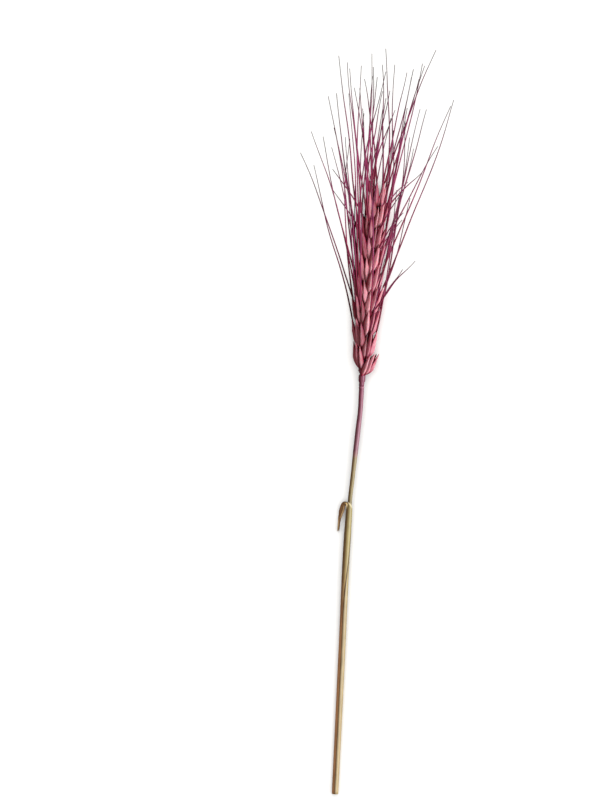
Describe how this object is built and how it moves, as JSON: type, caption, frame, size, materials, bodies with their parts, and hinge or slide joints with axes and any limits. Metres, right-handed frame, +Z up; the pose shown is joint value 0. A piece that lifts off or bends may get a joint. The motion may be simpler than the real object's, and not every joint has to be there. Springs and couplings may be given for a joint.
{
  "type": "wheat ear",
  "caption": "Dried bearded wheat ear on a cut straw stem, dyed plum pink at the head, with a leaf sheath round the lower stem. Lies flat as a dried-flower decoration.",
  "frame": {"origin": "on the surface that the stalk lies on, under the middle of its bounding box", "axes": "+Y from the cut end of the stem to the tips of the awns, +Z up from the surface, +X to the right seen from above"},
  "size_m": [0.0741, 0.354, 0.0333],
  "materials": {
    "dyed_chaff": "matte",
    "straw": "satin",
    "dried_leaf": "matte"
  },
  "bodies": {
    "root": {"ear": "dyed_chaff", "stem": "straw", "leaf_sheath": "dried_leaf"}
  },
  "joints": []
}
